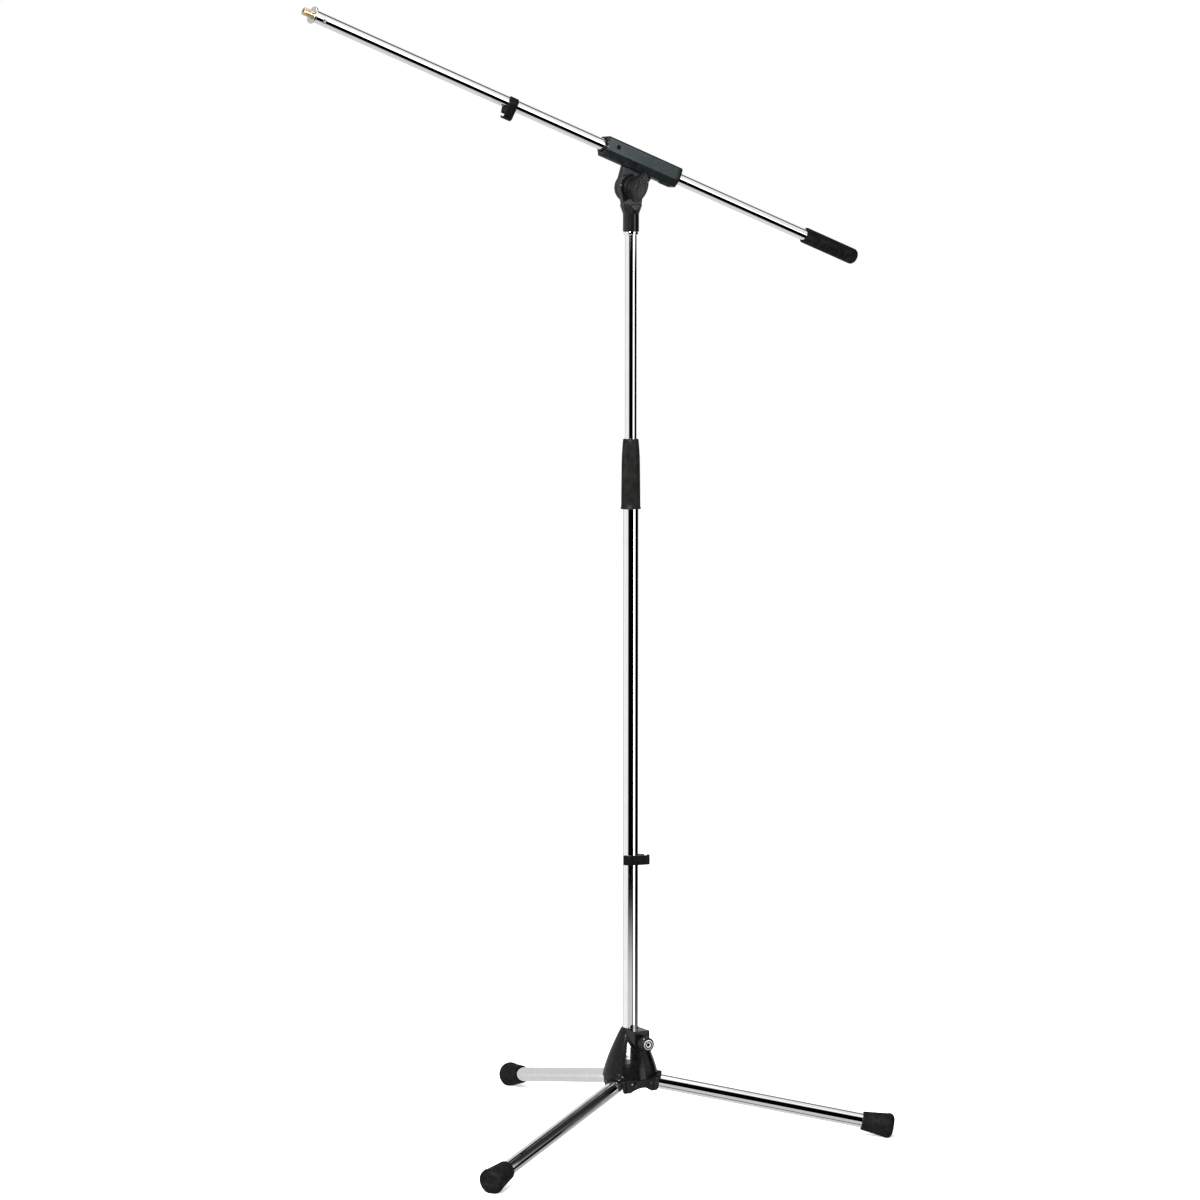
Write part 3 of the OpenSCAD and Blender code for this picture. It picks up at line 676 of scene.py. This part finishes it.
def build_recess_shade_plates(finish):
    """Near-black matt plates at the bottom of the square recesses in the block's two sides, as painted shade in
    the recesses.
    """
    low, high, _ = node_span("clamp_block", BOOM)
    along, up, depth = high[2] - 15.6 * MM, 2.4 * MM, 1.5 * MM
    corner_power = 10

    def square(a, radius, z):
        reach = abs(math.cos(a)) ** corner_power + abs(math.sin(a)) ** corner_power
        return radius * reach ** (-1 / corner_power)
    for side in (-1, 1):
        face = high[1] if side > 0 else low[1]
        centre = BOOM @ Vector((up, face - side * depth, along))
        place = looking_along(centre, side * BOOM_SIDE, BOOM_WAY)
        plate = lathe(f"block_recess_shade_{'left' if side < 0 else 'right'}", place,
                      rounded([(0, 0), (2.45, 0), (2.45, 0.35), (1.6, 0.2), (0, 0.2)], 0.15), 64, square)
        finish_piece(plate, "boom_head", "block_black", finish)


def build_tilt_knob(finish):
    """Wing knob of the head, with fine ribs across its front face inside a smooth rim."""
    flank_r, half_width, rib_pitch, rib_depth = 27.7, 8.75, 1.9, 0.55
    low, high, _ = node_span("tilt_knob", PIVOT)
    front = high[2] / MM
    knob = softened("tilt_knob_wing", "tilt_knob", 0.3, 4)

    def ribs(x, y, z):
        half = math.sqrt(max(flank_r ** 2 - y * y, 0)) - flank_r + half_width
        inside = 1 - smoothstep(half - 2.4, half - 1.8, abs(x))
        face = smoothstep(front - 0.9, front - 0.3, z)
        cut = 0.5 - 0.5 * math.cos(TAU * x / rib_pitch)
        return x, y, z - rib_depth * cut * inside * face
    reshape(knob, PIVOT, ribs)
    finish_piece(knob, "tilt_knob", "knob_black", finish, "tilt_knob")


def dress_cad_nodes(finishes):
    """Gives each CAD node that still shows the material of its slot, with smooth shading."""
    slots = {s["node"]: s["material_slot"] for s in frame["record"]["subparts"]}
    for name, node in frame["nodes"].items():
        if node.hide_render:
            continue
        node.data.materials.clear()
        node.data.materials.append(finishes["dark_pins" if name == "leg_pins" else slots[name]])
        node.data.shade_smooth()
        weld = node.modifiers.new("weld", "WELD")
        weld.merge_threshold = 1e-6
        bevel = node.modifiers.new("bevel", "BEVEL")
        bevel.width = 0.12 * MM
        bevel.segments = 2
        bevel.limit_method = "ANGLE"
        bevel.angle_limit = math.radians(50)
        bevel.harden_normals = True


# ---------- Studio ----------

def build_floor():
    """Plain pale floor under the stand."""
    size = 14.0
    mesh = bpy.data.meshes.new("studio_floor")
    corners = [(-size, -size, 0), (size, -size, 0), (size, size, 0), (-size, size, 0)]
    mesh.from_pydata(corners, [], [(0, 1, 2, 3)])
    floor = bpy.data.objects.new("studio_floor", mesh)
    bpy.context.scene.collection.objects.link(floor)
    s = Shader("pale_floor", 0.9, specular=0.0)
    s.paint(s.color((0.90, 0.90, 0.90), (0.93, 0.93, 0.93), s.noise(300, 2)))
    s.bsdf.inputs["Emission Color"].default_value = (1, 1, 1, 1)
    s.bsdf.inputs["Emission Strength"].default_value = 0.45
    mesh.materials.append(s.material)
    floor.visible_glossy = False


PANELS = {  # azimuth from, to, elevation from, to, edge softness, brightness
    "left_wall": (-116, -37, -24, 64, 9, 0.95),
    "left_back": (-196, -112, -70, 64, 10, 0.68),
    "right_strip": (44, 68, -13, 20, 3, 3.0),
    "right_back": (140, 196, -70, 40, 8, 0.80),
    "right_high": (60, 106, 7, 64, 6, 0.95),
    "back_high": (106, 140, 30, 64, 4, 0.03),
    "front_high": (-60, 60, 53, 64, 5, 0.80),
    "overhead": (-200, 200, 60, 100, 6, 0.90),
    "front_floor": (-34, 30, -56, -10.7, 0.9, 0.62),
    "left_floor": (-116, -28, -56, -16, 6, 0.60),
    "right_floor": (76, 136, -56, -13, 3, 0.45),
    "under": (-200, 200, -100, -67, 4, 0.66),
}


def build_world():
    """Light tent round the stand: bright panels with dark gaps between them, which chrome needs.
    Azimuth is 0 straight in front and grows to the right. Seen directly, the tent is white all over."""
    world = bpy.data.worlds.new("studio")
    bpy.context.scene.world = world
    world.use_nodes = True
    tree = world.node_tree

    def maths(operation, a, b=0.0, c=0.0):
        made = tree.nodes.new("ShaderNodeMath")
        made.operation = operation
        for socket, value in zip(made.inputs, (a, b, c)):
            if isinstance(value, (int, float)):
                socket.default_value = value
            else:
                tree.links.new(value, socket)
        return made.outputs[0]

    def rise(source, at, soft):
        made = tree.nodes.new("ShaderNodeMapRange")
        made.interpolation_type = "SMOOTHSTEP"
        made.inputs["From Min"].default_value = at - soft
        made.inputs["From Max"].default_value = at + soft
        tree.links.new(source, made.inputs["Value"])
        return made.outputs[0]

    way = tree.nodes.new("ShaderNodeSeparateXYZ")
    tree.links.new(tree.nodes.new("ShaderNodeTexCoord").outputs["Generated"], way.inputs[0])
    x, y, z = way.outputs
    azimuth = maths("MULTIPLY", maths("ARCTAN2", x, maths("MULTIPLY", y, -1.0)), math.degrees(1))
    elevation = maths("MULTIPLY", maths("ARCSINE", z), math.degrees(1))
    total = 0.0
    for a0, a1, e0, e1, soft, level in PANELS.values():
        across = maths("SUBTRACT", rise(azimuth, a0, soft), rise(azimuth, a1, soft))
        up = maths("SUBTRACT", rise(elevation, e0, soft), rise(elevation, e1, soft))
        total = maths("MULTIPLY_ADD", maths("MULTIPLY", across, up), level, total)
    seen = tree.nodes.new("ShaderNodeLightPath").outputs["Is Camera Ray"]
    tree.links.new(maths("MAXIMUM", total, seen), tree.nodes["Background"].inputs["Strength"])
    tree.nodes["Background"].inputs["Color"].default_value = (1, 1, 1, 1)


def add_light(name, place, target, size, power):
    """Soft rectangular light aimed at a target."""
    data = bpy.data.lights.new(name, "AREA")
    data.shape = "RECTANGLE"
    data.size, data.size_y = size
    data.energy = power
    made = bpy.data.objects.new(name, data)
    bpy.context.scene.collection.objects.link(made)
    made.location = place
    made.rotation_euler = (Vector(target) - Vector(place)).to_track_quat("-Z", "Y").to_euler()


def build_lights():
    """Light in front, seen as the highlight on the bell, and soft lights that shape the black pieces."""
    target = Vector((0, -0.03, 0.1))
    azimuth, elevation, distance = math.radians(-12), math.radians(34), 3.0
    level = distance * math.cos(elevation)
    place = Vector((level * math.sin(azimuth), -level * math.cos(azimuth), distance * math.sin(elevation)))
    add_light("bell_highlight", target + place, target, (0.85, 0.34), 190)
    add_light("left_key", (-2.2, -1.8, 2.6), (0, 0, 1.15), (0.5, 0.6), 50)
    add_light("top", (0.2, -0.3, 3.6), (0, 0, 0.7), (1.4, 1.0), 26)


def build_camera():
    """Camera at eye level in front of the stand, looking slightly down."""
    data = bpy.data.cameras.new("camera")
    data.lens = 103.95
    data.sensor_width = 36
    data.clip_end = 60
    camera = bpy.data.objects.new("camera", data)
    camera.location = (0.01998, -4.38995, 1.08575)
    camera.rotation_euler = (math.radians(84.9), 0, math.radians(0.77))
    bpy.context.scene.collection.objects.link(camera)
    bpy.context.scene.camera = camera


def main():
    finishes, leg_chrome, boom_chrome = make_materials()
    build_tubes(finishes, leg_chrome, boom_chrome)
    build_feet(finishes["foot_rubber"])
    build_clutch(finishes["grip_black"])
    build_boom_grip(finishes["tail_grip"])
    build_clamp_knob(finishes)
    build_top_stud(finishes)
    build_tip(finishes)
    build_cast_pieces(finishes)
    build_recess_shade_plates(finishes["port_black"])
    build_tilt_knob(finishes["knob_black"])
    dress_cad_nodes(finishes)
    build_floor()
    build_world()
    build_lights()
    build_camera()
    bpy.context.scene.view_settings.view_transform = "Standard"


main()
